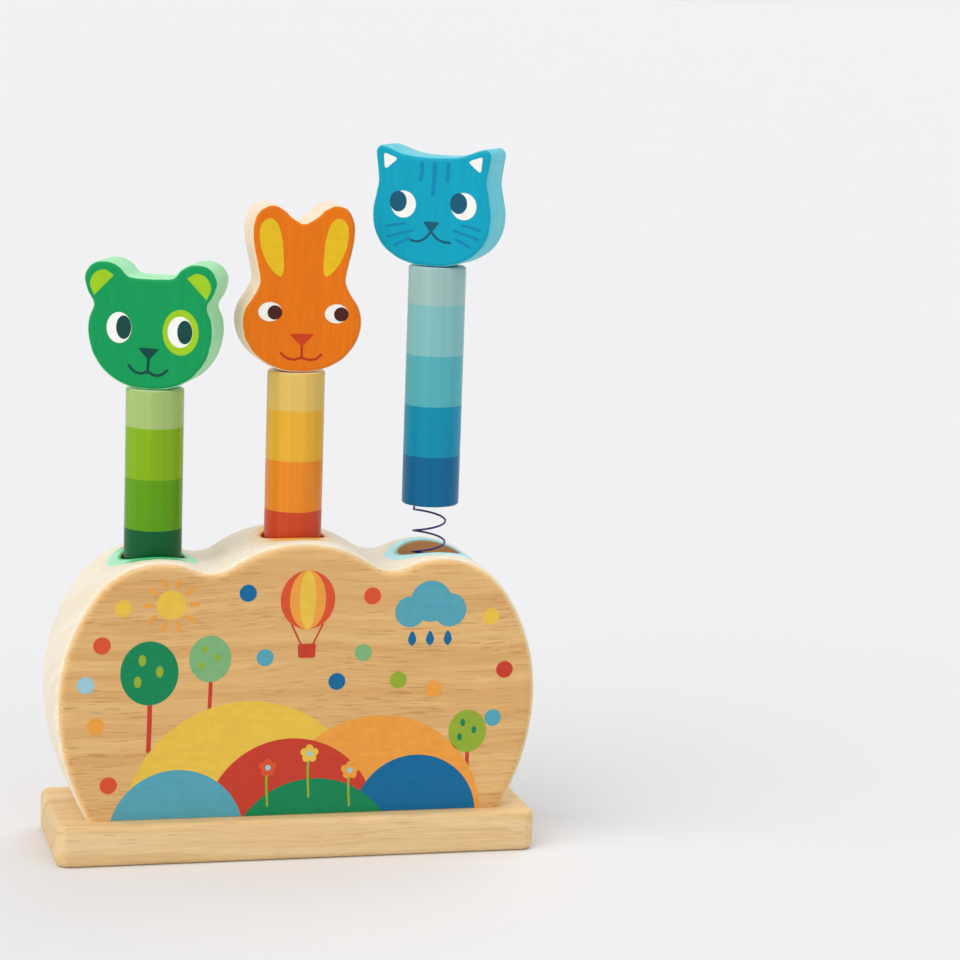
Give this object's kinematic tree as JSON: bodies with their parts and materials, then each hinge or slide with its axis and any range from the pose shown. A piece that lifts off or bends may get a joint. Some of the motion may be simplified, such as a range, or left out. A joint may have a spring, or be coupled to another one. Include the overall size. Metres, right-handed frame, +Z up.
{
  "type": "pop up animal toy",
  "caption": "Wooden pop-up toy: bear, rabbit and cat heads on striped pegs that ride on springs in the bores of a scalloped block on a base plate.",
  "frame": {"origin": "centre of the base plate's underside", "axes": "+Z up along the pegs, +X along the row of figures from the bear to the cat, -Y towards the front"},
  "size_m": [0.186, 0.058, 0.2694],
  "materials": {
    "block_wood": "clear lacquered light wood, satin, with fine grain dashes and a printed front",
    "plate_wood": "clear lacquered light wood, satin",
    "dowel_wood": "bare sanded wood",
    "bear_head_paint": "painted wood, satin green face with pale green sides",
    "rabbit_head_paint": "painted wood, satin orange face with pale peach sides",
    "cat_head_paint": "painted wood, satin blue face with pale blue sides",
    "bear_peg_paint": "painted wood, semi-gloss, in bands from pale to dark green",
    "rabbit_peg_paint": "painted wood, semi-gloss, in bands from pale yellow to red-orange",
    "cat_peg_paint": "painted wood, semi-gloss, in bands from pale to dark blue",
    "spring_wire": "dark blued spring wire",
    "screw_steel": "zinc plated"
  },
  "bodies": {
    "stand": {"base_plate": "plate_wood", "block": "block_wood", "base_screw_1": "screw_steel", "base_screw_2": "screw_steel", "base_screw_3": "screw_steel", "base_screw_4": "screw_steel"},
    "bear_lift": {"bear_spring": "spring_wire"},
    "bear_figure": {"bear_peg": "bear_peg_paint", "bear_head": "bear_head_paint", "bear_head_dowel": "dowel_wood"},
    "rabbit_lift": {"rabbit_spring": "spring_wire"},
    "rabbit_figure": {"rabbit_peg": "rabbit_peg_paint", "rabbit_head": "rabbit_head_paint", "rabbit_head_dowel": "dowel_wood"},
    "cat_lift": {"cat_spring": "spring_wire"},
    "cat_figure": {"cat_peg": "cat_peg_paint", "cat_head": "cat_head_paint", "cat_head_dowel": "dowel_wood"}
  },
  "joints": [
    {"name": "bear_press", "type": "slide", "parent": "stand", "child": "bear_lift", "axis": [0, 0, 1], "range_m": [-0.046, 0.0465], "stiffness_N_per_m": 175, "springref_m": 0.0024, "deforming": ["bear_spring"]},
    {"name": "bear_spin", "type": "hinge", "parent": "bear_lift", "child": "bear_figure", "pos_m": [-0.054, 0, 0.086], "axis": [0, 0, 1], "range_deg": [-90, 90], "stiffness_Nm_per_rad": 0.0089},
    {"name": "rabbit_press", "type": "slide", "parent": "stand", "child": "rabbit_lift", "axis": [0, 0, 1], "range_m": [-0.046, 0.0465], "stiffness_N_per_m": 175, "springref_m": 0.0026, "deforming": ["rabbit_spring"]},
    {"name": "rabbit_spin", "type": "hinge", "parent": "rabbit_lift", "child": "rabbit_figure", "pos_m": [0, 0, 0.0925], "axis": [0, 0, 1], "range_deg": [-90, 90], "stiffness_Nm_per_rad": 0.0089},
    {"name": "cat_press", "type": "slide", "parent": "stand", "child": "cat_lift", "axis": [0, 0, 1], "range_m": [-0.0925, 0], "stiffness_N_per_m": 175, "springref_m": 0.004, "deforming": ["cat_spring"]},
    {"name": "cat_spin", "type": "hinge", "parent": "cat_lift", "child": "cat_figure", "pos_m": [0.054, 0, 0.1325], "axis": [0, 0, 1], "range_deg": [-90, 90], "stiffness_Nm_per_rad": 0.0089}
  ]
}
